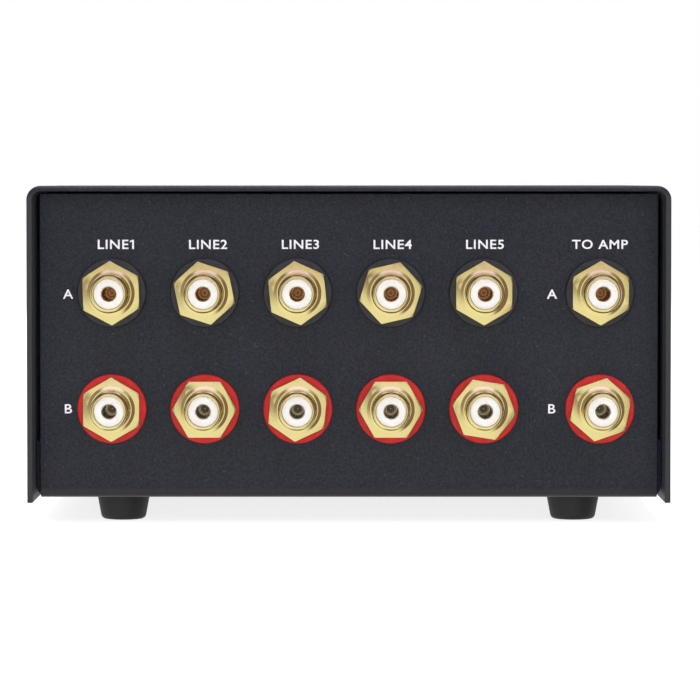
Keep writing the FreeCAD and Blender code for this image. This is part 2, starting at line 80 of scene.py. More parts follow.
# Studio: a pale table, a soft white room that is dimmer and cooler overhead, and four soft lamps.
# The table and the room look white where nothing shades them, and the table keeps the shadow.
# Metal shows the room too, with a cool window above the camera and darker walls at both sides.
room_stops = [
    # half the height of the direction plus a half, colour
    (0.02, (0.20, 0.13, 0.12)),
    (0.06, (1.00, 0.99, 0.96)),
    (0.50, (1.00, 0.99, 0.96)),
    (0.66, (0.93, 0.92, 0.92)),
    (0.80, (0.30, 0.26, 0.33)),
    (0.93, (0.16, 0.13, 0.19)),
    (0.97, (0.62, 0.56, 0.76)),
    (1.00, (0.66, 0.60, 0.80)),
]
room_strength = 0.56
mirror_strength = 1.0
window_strength = 1.9
window_colour = (0.63, 0.54, 1.0)
wall_colour = (0.24, 0.165, 0.165)
table_size = 12.0
table_colour = (0.80, 0.80, 0.80)
table_glow = 0.80
lamps = [
    # place, width, height, power, colour, seen in metal
    ((0.05, 1.40, 0.10), 1.20, 0.18, 9.6, (1.0, 0.98, 0.97), False),
    ((-0.85, 0.80, 0.42), 0.60, 0.60, 3.2, (1.0, 0.98, 0.96), False),
    ((0.05, 0.35, 1.30), 1.20, 0.50, 10.0, (1.0, 0.97, 1.0), False),
    ((0.45, -1.10, 0.55), 1.20, 0.50, 7.0, (1.0, 0.99, 1.0), True),
]


class Signal:
    """A value, colour or vector in a material: the output socket of one of its nodes."""

    def __init__(self, socket):
        self.socket = socket

    @staticmethod
    def node(tree, kind, settings, sockets, output=0):
        """Adds a node: its settings first, a ramp's stops among them, then its sockets' values or links."""
        added = tree.nodes.new(kind)
        for name, value in settings.items():
            if name == "stops":
                elements = added.color_ramp.elements
                while len(elements) < len(value):
                    elements.new(0.5)
                for element, (position, colour) in zip(elements, value):
                    element.position = position
                    element.color = (*colour, 1.0)
            else:
                setattr(added, name, value)
        for name, value in sockets.items():
            if isinstance(value, Signal):
                tree.links.new(value.socket, added.inputs[name])
            elif isinstance(value, tuple) and len(value) < len(added.inputs[name].default_value):
                added.inputs[name].default_value = (*value, 1.0)
            else:
                added.inputs[name].default_value = value
        return Signal(added.outputs[output]) if added.outputs else None

    def then(self, kind, settings, sockets, output=0):
        """A node in the same material as this value."""
        return Signal.node(self.socket.id_data, kind, settings, sockets, output)

    def part(self, name):
        """Another output of the same node."""
        return Signal(self.socket.node.outputs[name])

    def math(self, operation, left, right):
        return self.then("ShaderNodeMath", {"operation": operation}, {0: left, 1: right})

    def __add__(self, other):
        return self.math("ADD", self, other)

    def __radd__(self, other):
        return self.math("ADD", other, self)

    def __sub__(self, other):
        return self.math("SUBTRACT", self, other)

    def __rsub__(self, other):
        return self.math("SUBTRACT", other, self)

    def __mul__(self, other):
        return self.math("MULTIPLY", self, other)

    def __rmul__(self, other):
        return self.math("MULTIPLY", other, self)

    def __abs__(self):
        return self.math("ABSOLUTE", self, 0.0)

    def axis(self, name):
        """How far this place is along one axis."""
        return self.then("ShaderNodeSeparateXYZ", {}, {"Vector": self}, name)

    def between(self, low, high):
        """0 below low, 1 above high and smooth in between."""
        settings = {"interpolation_type": "SMOOTHSTEP"}
        return self.then("ShaderNodeMapRange", settings, {"Value": self, "From Min": low, "From Max": high})

    def blend(self, start, end):
        """Colour from start to end as this value goes from 0 to 1."""
        return self.then("ShaderNodeMix", {"data_type": "RGBA"}, {0: self, 6: start, 7: end}, 2)

    def noise(self, size, detail=2.0, roughness=0.5):
        """Noise over this place, with grains about size metres across."""
        sockets = {"Vector": self, "Scale": 1 / size, "Detail": detail, "Roughness": roughness}
        return self.then("ShaderNodeTexNoise", {}, sockets)

    def moved(self, scale=(1, 1, 1), rotation=(0, 0, 0), location=(0, 0, 0)):
        """This place, moved, turned or stretched."""
        sockets = {"Vector": self, "Location": location, "Rotation": rotation, "Scale": scale}
        return self.then("ShaderNodeMapping", {}, sockets)

    def bump(self, height, strength=1.0):
        """Surface direction where this value stands for a height of so many metres."""
        sockets = {"Height": self, "Distance": height, "Strength": strength}
        return self.then("ShaderNodeBump", {}, sockets, "Normal")


world = bpy.data.worlds.new("studio")
scene.world = world
world.use_nodes = True
world.node_tree.nodes.clear()
direction = Signal.node(world.node_tree, "ShaderNodeTexCoord", {}, {}, "Generated")
height = direction.axis("Z")
across = height.part("X")
aside = abs(across).between(0.30, 0.50)
window = height.between(0.50, 0.58) * (1 - height.between(0.76, 0.84)) * (1 - aside)
window = window * height.part("Y").between(0.05, 0.25)
seen = height.then("ShaderNodeLightPath", {}, {}, "Is Camera Ray")
mirrored = seen.part("Is Glossy Ray") + seen.part("Is Transmission Ray")
left_wall = across.between(0.28, 0.56) * height.between(-0.55, 0.10) * 0.85
right_wall = (-1 * across - height.between(0.0, 0.6) * 0.2).between(0.24, 0.48)
walls = (left_wall + right_wall) * height.part("Y").between(-0.15, 0.10)
room_colour = height.then("ShaderNodeValToRGB", {"stops": room_stops}, {"Fac": height * 0.5 + 0.5})
room_colour = (window * mirrored).blend(room_colour, window_colour)
room_colour = (walls * mirrored).blend(room_colour, wall_colour)
mirror_level = mirror_strength + window * (1 - walls) * (window_strength - mirror_strength)
strength = room_strength + mirrored * (mirror_level - room_strength)
room = height.then("ShaderNodeBackground", {}, {"Color": room_colour, "Strength": strength})
white = height.then("ShaderNodeBackground", {}, {"Color": (1.0, 1.0, 1.0), "Strength": 1.0})
mixed = seen.then("ShaderNodeMixShader", {}, {0: seen, 1: room, 2: white})
mixed.then("ShaderNodeOutputWorld", {}, {"Surface": mixed})

table_material = bpy.data.materials.new("table")
table_material.use_nodes = True
tree = table_material.node_tree
tree.nodes.clear()
seen = Signal.node(tree, "ShaderNodeLightPath", {}, {}, "Is Camera Ray")
strength = (seen + seen.part("Is Transmission Ray")) * table_glow
paper = seen.then("ShaderNodeBsdfDiffuse", {}, {"Color": table_colour})
glow = seen.then("ShaderNodeEmission", {}, {"Color": (1.0, 1.0, 1.0), "Strength": strength})
bright = seen.then("ShaderNodeAddShader", {}, {0: paper, 1: glow})
bright.then("ShaderNodeOutputMaterial", {}, {"Surface": bright})

shape = bmesh.new()
bmesh.ops.create_grid(shape, x_segments=1, y_segments=1, size=table_size / 2)
mesh = bpy.data.meshes.new("table")
shape.to_mesh(mesh)
shape.free()
mesh.materials.append(table_material)
table = add_object("table", mesh)
table.visible_glossy = False

lamp_aim = Vector((0, 0, 40 * mm))
for number, (place, width, height, power, colour, in_metal) in enumerate(lamps):
    name = "lamp_" + str(number)
    lamp = add_object(name, bpy.data.lights.new(name, "AREA"))
    lamp.data.shape = "RECTANGLE"
    lamp.data.size = width
    lamp.data.size_y = height
    lamp.data.energy = power
    lamp.data.color = colour
    lamp.visible_glossy = in_metal
    lamp.location = place
    lamp.rotation_euler = (lamp_aim - lamp.location).to_track_quat("-Z", "Y").to_euler()


# Chassis tray: one steel sheet, bent up into the rear and front walls, with two low lips at the sides.
# Its finish, and the cover's, is a fine black powder coat, baked on, with tiny pale specks in it.
coat_dark = (0.0026, 0.0037, 0.0082)
coat_warm = (0.0225, 0.0240, 0.0315)
coat_cool = (0.0180, 0.0240, 0.0355)
coat_speck = (0.16, 0.165, 0.175)
coat_grain = 0.50 * mm
coat_patch = 16 * mm
coat_tint = 1.1 * mm
coat_height = 0.035 * mm
coat_gloss = 0.35
speck_spacing = 2.0 * mm
speck_size = 0.11
speck_share = 0.25
sheet = 1.2 * mm
wall_edge = 0.45 * mm
side_of_walls = 66.5 * mm
lip_face = 66.6 * mm
wall_top = 70.0 * mm
wall_growth = 0.09 * mm
tiny = 0.02 * mm
same_place = 0.001 * mm
flat_angle = math.radians(0.5)
sharp_angle = math.radians(60)
bend_zone = (1.0 * mm, 2.4 * mm)
bend_ends = (3.0 * mm, 1.5 * mm)
# Painted light: the paler tone on the tray's lower bends, where light from the table falls.
painted_bend_light = (0.027, 0.0275, 0.029)
tray_low, tray_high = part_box("chassis_tray")


def start_material(name):
    """Empty material and the place on the piece that it is seen at."""
    material = bpy.data.materials.new(name)
    material.use_nodes = True
    material.node_tree.nodes.clear()
    return material, Signal.node(material.node_tree, "ShaderNodeTexCoord", {}, {}, "Object")


def finish_material(place, sockets):
    """Ends a material in one shader with these sockets."""
    shader = place.then("ShaderNodeBsdfPrincipled", {}, sockets)
    place.then("ShaderNodeOutputMaterial", {}, {"Surface": shader})


def dress(material, *nodes):
    """Gives CAD nodes one finish all over."""
    for name in nodes:
        for slot in frame["nodes"][name].material_slots:
            slot.material = material


def powder_coat(name, pale_spots_and_painted_light=None):
    """Fine black powder coat, with paler tones laid over it at spots that a piece gives, most of them painted
    light.
    """
    material, place = start_material(name)
    grain = place.noise(coat_grain, 3.0, 0.65)
    patches = place.noise(coat_patch, 2.0)
    sockets = {"Vector": place, "Scale": 1 / speck_spacing}
    nearest = place.then("ShaderNodeTexVoronoi", {}, sockets, "Distance")
    specks = 1 - nearest.between(speck_size * 0.4, speck_size)
    tone = grain.between(0.31, 0.71) * 0.85 + patches * 0.3
    tint = place.noise(coat_tint, 2.0).between(0.35, 0.65)
    plain = tone.blend(coat_dark, tint.blend(coat_warm, coat_cool))
    colour = (specks * speck_share).blend(plain, coat_speck)
    # Paler tones at the piece's spots: mostly painted light and painted highlight.
    for spot, pale in pale_spots_and_painted_light(place) if pale_spots_and_painted_light else []:
        colour = (spot * (grain * 0.6 + 0.6)).blend(colour, pale)
    finish_material(place, {
        "Base Color": colour,
        "Roughness": grain * 0.20 + 0.40,
        "Specular IOR Level": coat_gloss,
        "Sheen Weight": 0.06,
        "Sheen Roughness": 0.40,
        "Sheen Tint": (0.92, 0.88, 1.0),
        "Normal": grain.bump(coat_height, 0.8),
    })
    return material


def add_copy(shape, mesh, place):
    """Adds a copy of a mesh to a bmesh, moved to a place."""
    first = len(shape.verts)
    shape.from_mesh(mesh)
    shape.verts.ensure_lookup_table()
    bmesh.ops.transform(shape, matrix=place, verts=shape.verts[first:])


def add_piece(name, shape, material, body=root, replaced=(), smooth_angle=35):
    """Makes a bmesh a piece of the object, which rides on one of its bodies."""
    mesh = bpy.data.meshes.new(name)
    shape.to_mesh(mesh)
    shape.free()
    mesh.shade_smooth()
    mesh.set_sharp_from_angle(angle=math.radians(smooth_angle))
    mesh.materials.append(material)
    piece = add_object(name, mesh)
    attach(piece, body)
    if replaced:
        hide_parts(*replaced)
    return piece


def round_edges(shape, edges, width, segments=4):
    """Rounds these edges of a bmesh."""
    bmesh.ops.bevel(
        shape, geom=edges, offset=width, offset_type="OFFSET", segments=segments,
        profile=0.5, affect="EDGES", material=-1, clamp_overlap=True,
    )


def on_outline(edge):
    """True for the sharp edges round the outer face of either wall, and none of those round its holes."""
    ends = [vert.co for vert in edge.verts]
    if len(edge.link_faces) != 2 or edge.calc_face_angle() < sharp_angle:
        return False
    on_side = all(abs(end.x) > side_of_walls - tiny and abs(end.x) < lip_face for end in ends)
    on_face = any(all(abs(end.y - face) < tiny for end in ends) for face in (rear_face, front_face))
    return on_side or (on_face and all(abs(end.x) > lip_face or end.z > wall_top for end in ends))


def tray_thin_spots(place):
    """Painted light on the tray: a paler coat over the two bends along its lower edges, as if lit from the
    table.
    """
    split = place.axis("Y")
    low = 1 - split.part("Z").between(tray_low.z + bend_zone[0], tray_low.z + bend_zone[1])
    at_ends = abs(split).between(tray_high.y - bend_ends[0], tray_high.y - bend_ends[1])
    return ((low * at_ends, painted_bend_light),)


shape = bmesh.new()
shape.from_mesh(frame["nodes"]["chassis_tray"].data)
bmesh.ops.remove_doubles(shape, verts=shape.verts, dist=same_place)
bmesh.ops.dissolve_limit(shape, angle_limit=flat_angle, verts=shape.verts, edges=shape.edges)
# The coat nearly closes the gap between the front wall and the cover.
for vert in shape.verts:
    at_edge = abs(vert.co.x) > lip_face or vert.co.z > wall_top
    if at_edge and vert.co.y < front_face + sheet + 0.1 * mm:
        vert.co.x *= 1 + wall_growth / tray_high.x
        vert.co.z += wall_growth * (vert.co.z - tray_low.z) / (tray_high.z - tray_low.z)
outline = [edge for edge in shape.edges if on_outline(edge)]
round_edges(shape, outline, wall_edge)
tray_coat = powder_coat("tray_powder_coat", tray_thin_spots)
add_piece("bent_tray", shape, tray_coat, replaced=["chassis_tray"])


# Printed marks: white ink, screen printed on the rear wall over the sockets and beside the rows,
# and numbers round the knob on the front wall. They are plain words, letters and numbers.
ink_colour = (0.88, 0.89, 0.92)
worn_ink = (0.74, 0.75, 0.78)
ink_thickness = 0.03 * mm
cap_height = 2.0 * mm
number_height = 1.2 * cap_height
letter_weight = 0.015
letter_stretch = 1.12
letter_spacing = 1.10
letter_stem = 0.098 + 2 * letter_weight
flag_reach = 0.15
flag_drop = 0.09
flag_weight = 0.12
label_height = 60.2 * mm
label_first_x = 50.1 * mm
label_pitch = 19.84 * mm
output_label_x = -54.0 * mm
row_mark_places = (60.4 * mm, -43.7 * mm)
washer_reach = 7.5 * mm
upper_row_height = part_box("black_washers")[1].z - washer_reach
lower_row_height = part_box("red_washers")[1].z - washer_reach
upper_mark_drop = 0.3 * mm
number_ring_radius = 20.5 * mm
number_step = math.radians(30)

white_ink, place = start_material("white_ink")
wear = place.noise(0.35 * mm, 3.0, 0.6)
finish_material(place, {
    "Base Color": wear.between(0.30, 0.60).blend(worn_ink, ink_colour),
    "Roughness": wear * 0.2 + 0.45,
})


def finished_mesh(thing):
    """Mesh of an object, with its modifiers applied or its lettering made solid. The object goes."""
    bpy.context.view_layer.update()
    depsgraph = bpy.context.evaluated_depsgraph_get()
    mesh = bpy.data.meshes.new_from_object(thing.evaluated_get(depsgraph))
    bpy.data.objects.remove(thing)
    return mesh


def add_flag(mesh):
    """Gives the 1 that ends the words, a bare stem in this font, a flag that slants down from its top."""
    right = max(vert.co.x for vert in mesh.vertices)
    top = max(vert.co.y for vert in mesh.vertices)
    shape = bmesh.new()
    shape.from_mesh(mesh)
    bmesh.ops.create_cube(shape, size=1.0, matrix=Matrix((
        (flag_reach, 0.0, 0.0, right - letter_stem - flag_reach * 0.45),
        (flag_drop, flag_weight, 0.0, top - (flag_drop + flag_weight) / 2),
        (0.0, 0.0, 1.0, 0.0),
        (0.0, 0.0, 0.0, 1.0),
    )))
    shape.to_mesh(mesh)
    shape.free()


def add_words(shape, words, height, x, y, z, facing):
    """Adds thin raised words, centred on a place on a wall that faces +Y or -Y."""
    curve = bpy.data.curves.new("words", "FONT")
    curve.body = words
    curve.size = 1.0
    curve.offset = letter_weight
    curve.space_character = letter_spacing
    curve.extrude = 0.5
    curve.resolution_u = 6
    mesh = finished_mesh(add_object("words", curve))
    bpy.data.curves.remove(curve)
    if words.endswith("1"):
        add_flag(mesh)
    low = Vector([min(vert.co[i] for vert in mesh.vertices) for i in range(3)])
    high = Vector([max(vert.co[i] for vert in mesh.vertices) for i in range(3)])
    centred = Matrix.Translation(-(low + high) / 2)
    size = height / (high.y - low.y)
    scaled = Matrix.Diagonal((size * letter_stretch, size, ink_thickness, 1.0))
    upright = Matrix.Rotation(math.pi / 2, 4, "X")
    turned_round = Matrix.Rotation(math.pi if facing > 0 else 0.0, 4, "Z")
    place = Matrix.Translation((x, y, z)) @ turned_round @ upright
    add_copy(shape, mesh, place @ scaled @ centred)
    bpy.data.meshes.remove(mesh)


shape = bmesh.new()
for number in range(5):
    label_x = label_first_x - number * label_pitch
    add_words(shape, "LINE" + str(number + 1), cap_height, label_x, rear_face, label_height, 1)
add_words(shape, "TO AMP", cap_height, output_label_x, rear_face, label_height, 1)
for x in row_mark_places:
    add_words(shape, "A", cap_height, x, rear_face, upper_row_height - upper_mark_drop, 1)
    add_words(shape, "B", cap_height, x, rear_face, lower_row_height, 1)
add_piece("rear_wall_marks", shape, white_ink)

shape = bmesh.new()
knob_low, knob_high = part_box("knob")
knob_height = (knob_low.z + knob_high.z) / 2
for number in range(5):
    angle = (number - 2) * number_step
    x = number_ring_radius * math.sin(angle)
    z = knob_height + number_ring_radius * math.cos(angle)
    add_words(shape, str(number + 1), number_height, x, front_face, z, -1)
add_piece("front_wall_numbers", shape, white_ink)


# Rubber feet: four tapered black feet with rounded lower edges, stuck under the tray.
# Each one is turned, and has the matt skin and faint mottle of moulded rubber.
foot_top_radius = 5.8 * mm
foot_low_radius = 4.8 * mm
foot_edge = 0.9 * mm
foot_hollow = 0.25 * mm
foot_hollow_edge = 1.8 * mm
foot_hollow_slope = 0.3 * mm
foot_sharp_edge = 0.1 * mm
foot_slip = 0.3 * mm
foot_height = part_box("rubber_feet")[1].z
rubber_colour = (0.0120, 0.0125, 0.0135)
rubber_bloom = (0.027, 0.028, 0.030)
round_steps = 120


def in_order(shape):
    """Puts edges and faces in the order of their corners, which a spin leaves to chance."""
    shape.verts.index_update()

    def rank(part):
        corners = [vert.index for vert in part.verts]
        return min(corners) * len(shape.verts) + max(corners)

    shape.edges.sort(key=rank)
    shape.faces.sort(key=rank)


def turned(profile, axis="Y", steps=round_steps, closed=True):
    """Closed mesh turned about an axis from corners (radius, distance along it, rounding).
    A profile that isn't closed has both its ends on the axis."""
    along = Vector((0, 1, 0)) if axis == "Y" else Vector((0, 0, 1))
    shape = bmesh.new()
    corners = [shape.verts.new(Vector((radius, 0, 0)) + along * distance)
               for radius, distance, rounding in profile]
    following = corners[1:] + corners[:1] if closed else corners[1:]
    edges = [shape.edges.new(pair) for pair in zip(corners, following)]
    bmesh.ops.spin(
        shape, geom=corners + edges, cent=(0, 0, 0), axis=along, dvec=(0, 0, 0),
        angle=2 * math.pi, steps=steps, use_merge=True, use_duplicate=False,
    )
    in_order(shape)
    bmesh.ops.remove_doubles(shape, verts=shape.verts, dist=0.1 * same_place)
    bmesh.ops.recalc_face_normals(shape, faces=shape.faces)
    for radius, distance, rounding in profile:
        if rounding > 0:
            ease_ring(shape, along, radius, distance, rounding)
    return shape


def ease_ring(shape, along, radius, distance, rounding):
    """Rounds the ring of edges at one radius and one distance along the axis."""

    def on_ring(vert):
        height = vert.co.dot(along)
        from_axis = (vert.co - along * height).length
        return abs(height - distance) < same_place and abs(from_axis - radius) < same_place

    ring = [edge for edge in shape.edges if on_ring(edge.verts[0]) and on_ring(edge.verts[1])]
    round_edges(shape, ring, rounding)


def as_mesh(shape, name):
    """Mesh of a bmesh, to copy."""
    mesh = bpy.data.meshes.new(name)
    shape.to_mesh(mesh)
    shape.free()
    return mesh


rubber, place = start_material("foot_rubber")
mottle = place.noise(0.30 * mm, 3.0, 0.6)
scuffs = place.noise(3.0 * mm, 3.0, 0.6)
finish_material(place, {
    "Base Color": (mottle * 0.6 + scuffs * 0.4).blend(rubber_colour, rubber_bloom),
    "Roughness": mottle * 0.25 + 0.50,
    "Specular IOR Level": 0.45,
    "Normal": mottle.bump(0.012 * mm, 0.7),
})

foot = as_mesh(turned([
    (0, foot_hollow, 0),
    (foot_low_radius - foot_hollow_edge, foot_hollow, foot_sharp_edge),
    (foot_low_radius - foot_hollow_edge - foot_hollow_slope, 0, foot_sharp_edge),
    (foot_low_radius - 0.05 * mm, 0, foot_edge),
    (foot_top_radius, foot_height, 0.12 * mm),
    (0, foot_height, 0),
], axis="Z", closed=False), "foot")
feet_low, feet_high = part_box("rubber_feet")
shape = bmesh.new()
for x in (feet_low.x + foot_top_radius, feet_high.x - foot_top_radius + foot_slip):
    for y in (feet_low.y + foot_top_radius, feet_high.y - foot_top_radius):
        add_copy(shape, foot, Matrix.Translation((x, y, 0)))
add_piece("rubber_feet_moulded", shape, rubber, replaced=["rubber_feet"])


# Washers: a black or red ring of moulded plastic under every socket's hexagon, black in the upper row.
# They keep the shells off the steel and mark the two channels. Their outer edges are eased.
washer_radius = 7.44 * mm
washer_bore = 4.1 * mm
washer_thickness = 1.0 * mm
washer_edge = 0.30 * mm
mounts = {mount["name"]: mount["pos_m"] for mount in frame["record"]["mounts"]}
socket_names = ["input_1", "input_2", "input_3", "input_4", "input_5", "output"]


def row_places(row):
    """Where the sockets of a row stand on the rear wall."""
    middles = [mounts[name + "_" + row + "_shell"] for name in socket_names]
    return [Vector((middle[0], rear_face, middle[2])) for middle in middles]


def plastic(name, dark, light, roughness):
    """Moulded plastic with faint flow marks and a slightly uneven skin."""
    material, place = start_material(name)
    flow = place.noise(2.2 * mm, 3.0, 0.55)
    skin = place.noise(0.25 * mm, 2.0)
    finish_material(place, {
        "Base Color": flow.between(0.30, 0.70).blend(dark, light),
        "Roughness": skin * 0.16 + roughness,
        "Normal": skin.bump(0.006 * mm, 0.6),
    })
    return material


black_plastic = plastic("black_washer", (0.012, 0.012, 0.013), (0.021, 0.021, 0.023), 0.30)
red_plastic = plastic("red_washer", (0.44, 0.008, 0.006), (0.53, 0.014, 0.008), 0.36)
washer = as_mesh(turned([
    (washer_bore, 0, 0),
    (washer_radius, 0, 0),
    (washer_radius, washer_thickness, washer_edge),
    (washer_bore, washer_thickness, 0),
]), "washer")
for row, material, slot, node in (
    ("left", black_plastic, "black_washer", "black_washers"),
    ("right", red_plastic, "red_washer", "red_washers"),
):
    shape = bmesh.new()
    for middle in row_places(row):
        add_copy(shape, washer, Matrix.Translation(middle))
    add_piece(slot + "_rings", shape, material, replaced=[node])


# Phono sockets: turned brass shells, plated pale gold, each with a hexagon, a low collar and a barrel.
# The stem goes through the washer and the wall and takes a thin nut. Each hexagon has its own angle.
hexagon_across = 12.0 * mm
hexagon_thickness = 2.8 * mm
hexagon_face = washer_thickness + hexagon_thickness
hexagon_bore = 3.7 * mm
barrel_radius = 4.13 * mm
barrel_taper = 0.18 * mm
barrel_taper_length = 1.2 * mm
barrel_lip = 0.52 * mm
barrel_fillet = 0.16 * mm
shell_bore = 3.3 * mm
shell_nose = 12.2 * mm
collar_radius = 5.12 * mm
collar_slope = 0.70 * mm
collar_height = 0.34 * mm
collar_root = 0.3 * mm
stem_radius = 3.95 * mm
nut_across = 11.0 * mm
nut_thickness = 2.4 * mm
nut_end = -sheet - nut_thickness
long_edge = 0.22 * mm
cut_edge = 0.13 * mm
chamfer_slope = 0.30
overrun = 1 * mm
chamfer_angle = math.radians(20)
hexagon_turns = {"left": (-2, -12, -6, 17, 0, 0), "right": (0, 30, 5, 30, -21, 11)}


def finished_shape(thing):
    """Bmesh of an object with its modifiers applied. The object goes."""
    mesh = finished_mesh(thing)
    shape = bmesh.new()
    shape.from_mesh(mesh)
    bpy.data.meshes.remove(mesh)
    return shape


def carved(shape, tool, operation):
    """A closed mesh cut by another, or what they share."""
    kept = add_object("kept", as_mesh(shape, "kept"))
    cutter = add_object("cutter", as_mesh(tool, "cutter"))
    cut = kept.modifiers.new("cut", "BOOLEAN")
    cut.operation = operation
    cut.solver = "EXACT"
    cut.object = cutter
    result = finished_shape(kept)
    bpy.data.objects.remove(cutter)
    bmesh.ops.remove_doubles(result, verts=result.verts, dist=same_place)
    return result


def hexagon(across, start, end, chamfer, bore):
    """Bored hexagon along Y, a corner up, with dulled long edges and its corners turned off at both ends."""
    shape = bmesh.new()
    corner = across / math.sqrt(3)
    slope = (corner - across / 2) * chamfer_slope
    bmesh.ops.create_cone(
        shape, cap_ends=True, segments=6, radius1=corner, radius2=corner, depth=end - start,
        matrix=Matrix.Translation((0, (start + end) / 2, 0)) @ Matrix.Rotation(math.pi / 2, 4, "X"),
    )
    long_edges = [edge for edge in shape.edges
                  if abs(edge.verts[0].co.y - edge.verts[1].co.y) > (end - start) / 2]
    round_edges(shape, long_edges, long_edge, 3)
    tool = turned([
        (0, start, 0),
        (across / 2 + chamfer, start, 0),
        (corner + chamfer, start + slope, 0),
        (corner + chamfer, end - slope, 0),
        (across / 2 + chamfer, end, 0),
        (0, end, 0),
    ], closed=False)
    shape = carved(shape, tool, "INTERSECT")
    hole = turned([
        (0, start - overrun, 0),
        (bore, start - overrun, 0),
        (bore, end + overrun, 0),
        (0, end + overrun, 0),
    ], closed=False)
    shape = carved(shape, hole, "DIFFERENCE")
    bmesh.ops.dissolve_limit(shape, angle_limit=flat_angle, verts=shape.verts, edges=shape.edges)
    sharp = [edge for edge in shape.edges
             if len(edge.link_faces) == 2 and edge.calc_face_angle() > chamfer_angle]
    round_edges(shape, sharp, cut_edge, 3)
    return shape


def plated(name, colour, stain, roughness):
    """Plated metal with a fine grain, stray polishing lines, faint stains and any painted shade that its
    roughness function gives.
    """
    material, place = start_material(name)
    relief, dulled = 1.0, 0.0
    if callable(roughness):
        roughness, relief, dulled = roughness(place)
    grain = place.noise(0.16 * mm, 2.0, 0.6)
    lines = place.moved(scale=(1.0, 1.0, 0.05), rotation=(0, 0.7, 0)).noise(0.12 * mm, 2.0)
    stains = place.noise(2.6 * mm, 4.0, 0.65).between(0.56, 0.84)
    finish_material(place, {
        # dulled is painted shade from the roughness function, laid on with the stains.
        "Base Color": (stains * 0.35 + dulled).blend(colour, stain),
        "Metallic": 1.0,
        "Roughness": grain * 0.12 + stains * 0.03 + roughness,
        "Normal": ((grain * 0.6 + lines * 0.4) * relief).bump(0.004 * mm, 0.5),
    })
    return material


def turned_or_milled(place):
    """Roughness, relief and painted shade of a shell: bright where it was turned, from the collar outwards,
    dull on the hexagon, and darker on top of the upper row, as under the cover's overhang."""
    outwards = place.axis("Y")
    edge = rear_face + hexagon_face
    was_turned = outwards.between(edge + 0.02 * mm, edge + 0.20 * mm)
    # Painted shade: the tops of the upper row's shells darker, unevenly.
    on_top = outwards.part("Z").between(upper_row_height, upper_row_height + 6 * mm)
    tarnish_and_painted_shade = on_top * (place.noise(1.4 * mm, 3.0, 0.6) * 0.9 + 0.35)
    return 0.20 - was_turned * 0.14, 1 - was_turned * 0.85, tarnish_and_painted_shade


gold = plated("gold_plate", (0.87, 0.755, 0.335), (0.66, 0.52, 0.22), turned_or_milled)
blank = hexagon(hexagon_across, washer_thickness, hexagon_face, 0.30 * mm, hexagon_bore)
blank = as_mesh(blank, "hexagon")
nut = as_mesh(hexagon(nut_across, nut_end, -sheet, 0.20 * mm, hexagon_bore), "nut")
shell = as_mesh(turned([
    (shell_bore, nut_end, 0),
    (stem_radius, nut_end, 0.2 * mm),
    (stem_radius, hexagon_face - collar_root, 0),
    (collar_radius, hexagon_face - collar_root, 0),
    (collar_radius, hexagon_face + 0.02 * mm, 0),
    (collar_radius - collar_slope, hexagon_face + collar_height, 0.12 * mm),
    (barrel_radius, hexagon_face + collar_height, barrel_fillet),
    (barrel_radius, shell_nose - barrel_taper_length, 0.3 * mm),
    (barrel_radius - barrel_taper, shell_nose, barrel_lip),
    (shell_bore, shell_nose, 0.08 * mm),
]), "shell")
for row, node in (("left", "left_channel_sockets"), ("right", "right_channel_sockets")):
    shape = bmesh.new()
    for middle, turn in zip(row_places(row), hexagon_turns[row]):
        spot = Matrix.Translation(middle)
        tilt = Matrix.Rotation(-math.radians(turn), 4, "Y")
        add_copy(shape, shell, spot)
        add_copy(shape, blank, spot @ tilt)
        add_copy(shape, nut, spot @ tilt.inverted())
    add_piece(row + "_channel_shells", shape, gold, replaced=[node])


# Insulators: white plugs moulded of hard plastic, pressed into the shells, each with a hole for a pin.
# The rim of the plug and the mouth of the hole are eased.
insulator_radius = 3.28 * mm
insulator_face = shell_nose - 0.3 * mm
pin_hole_radius = 1.65 * mm
pin_hole_floor = insulator_face - 12.4 * mm

white_plastic = plastic("white_insulator", (0.73, 0.72, 0.67), (0.79, 0.78, 0.73), 0.30)
insulator = as_mesh(turned([
    (0, pin_hole_floor, 0),
    (pin_hole_radius, pin_hole_floor, 0),
    (pin_hole_radius, insulator_face, 0.16 * mm),
    (insulator_radius, insulator_face, 0.26 * mm),
    (insulator_radius, nut_end, 0),
    (0, nut_end, 0),
], closed=False), "insulator")
shape = bmesh.new()
for row in ("left", "right"):
    for middle in row_places(row):
        add_copy(shape, insulator, Matrix.Translation(middle))
add_piece("white_insulators", shape, white_plastic, replaced=["socket_insulators"])


# Centre contacts: a split spring sleeve of thin plated metal in each pin hole, and a flat tag to the board.
# A rivet's rolled rim and its pin show at the bottom. The upper row is a brown gold, the lower dull tin.
sleeve_radius = 1.60 * mm
sleeve_wall = 0.14 * mm
sleeve_front = insulator_face - 0.9 * mm
sleeve_floor = pin_hole_floor + 0.18 * mm
rivet_radius = 1.08 * mm
rivet_bore = 0.84 * mm
rivet_height = 0.50 * mm
rivet_floor = 0.06 * mm
rivet_edge = 0.11 * mm
rivet_pin = 0.22 * mm
rivet_pin_height = rivet_height * 0.7
slit_width = 0.30 * mm
slit_floor = pin_hole_floor + 3.0 * mm
tag_width = 1.6 * mm
tag_thickness = 0.5 * mm
tag_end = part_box("socket_contacts")[0].y - rear_face


